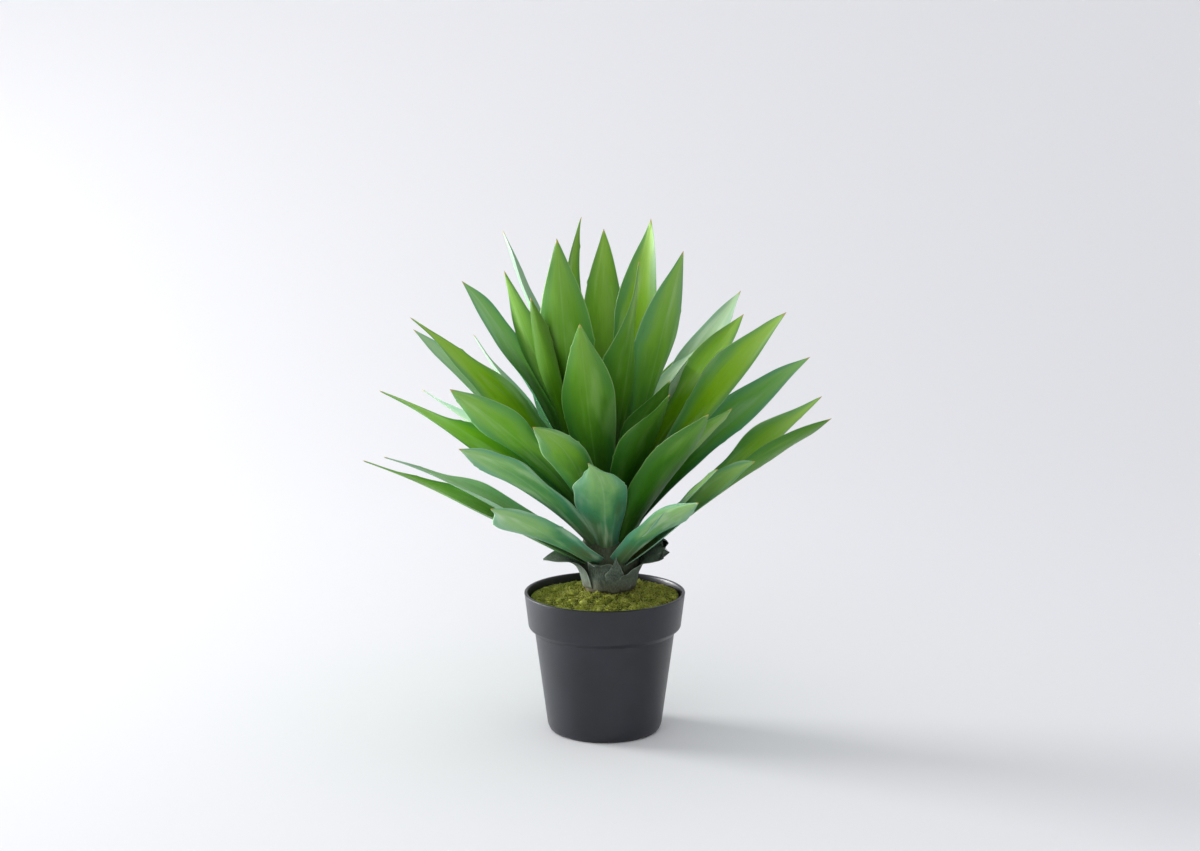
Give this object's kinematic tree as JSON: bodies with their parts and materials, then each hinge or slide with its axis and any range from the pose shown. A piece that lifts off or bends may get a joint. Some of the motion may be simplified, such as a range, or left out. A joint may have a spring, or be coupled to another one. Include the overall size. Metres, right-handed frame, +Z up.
{
  "type": "potted agave plant",
  "caption": "Free-standing ornamental agave: a rosette of long lance-shaped leaves on a short scaly stem, in a round dark nursery pot topped with moss.",
  "frame": {"origin": "centre of the flat pad under the pot, on the surface it stands on", "axes": "+Z up along the pot's axis, -Y towards the viewer of the front, +X to the viewer's right"},
  "size_m": [0.482, 0.445, 0.548],
  "materials": {
    "pot_plastic": "satin",
    "growing_medium": "matte",
    "moss": "matte",
    "stem": "matte",
    "scale": "matte",
    "leaf_crown": "satin",
    "leaf_upper": "satin",
    "leaf_middle": "satin",
    "leaf_lower": "satin"
  },
  "bodies": {
    "root": {"pot": "pot_plastic", "soil": "growing_medium", "moss": "moss", "stem": "stem", "leaf_crown_1": "leaf_crown", "leaf_crown_2": "leaf_crown", "leaf_crown_3": "leaf_crown", "leaf_crown_4": "leaf_crown", "leaf_crown_5": "leaf_crown", "leaf_crown_6": "leaf_crown", "leaf_crown_7": "leaf_crown", "leaf_crown_8": "leaf_crown", "leaf_crown_9": "leaf_crown", "leaf_crown_10": "leaf_crown", "leaf_upper_1": "leaf_upper", "leaf_upper_2": "leaf_upper", "leaf_upper_3": "leaf_upper", "leaf_upper_4": "leaf_upper", "leaf_upper_5": "leaf_upper", "leaf_upper_6": "leaf_upper", "leaf_upper_7": "leaf_upper", "leaf_middle_1": "leaf_middle", "leaf_middle_2": "leaf_middle", "leaf_middle_3": "leaf_middle", "leaf_middle_4": "leaf_middle", "leaf_middle_5": "leaf_middle", "leaf_middle_6": "leaf_middle", "leaf_middle_7": "leaf_middle", "leaf_middle_8": "leaf_middle", "leaf_middle_9": "leaf_middle", "leaf_middle_10": "leaf_middle", "leaf_middle_11": "leaf_middle", "leaf_middle_12": "leaf_middle", "leaf_lower_1": "leaf_lower", "leaf_lower_2": "leaf_lower", "leaf_lower_3": "leaf_lower", "leaf_lower_4": "leaf_lower", "leaf_lower_5": "leaf_lower", "leaf_lower_6": "leaf_lower", "leaf_lower_7": "leaf_lower", "leaf_lower_8": "leaf_lower", "leaf_lower_9": "leaf_lower", "leaf_lower_10": "leaf_lower", "leaf_lower_11": "leaf_lower", "leaf_lower_12": "leaf_lower", "leaf_lower_13": "leaf_lower", "leaf_lower_14": "leaf_lower", "leaf_lower_15": "leaf_lower", "leaf_lower_16": "leaf_lower", "leaf_lower_17": "leaf_lower", "leaf_lower_18": "leaf_lower", "scale_1": "scale", "scale_2": "scale", "scale_3": "scale", "scale_4": "scale", "scale_5": "scale", "scale_6": "scale", "scale_7": "scale"}
  },
  "joints": []
}
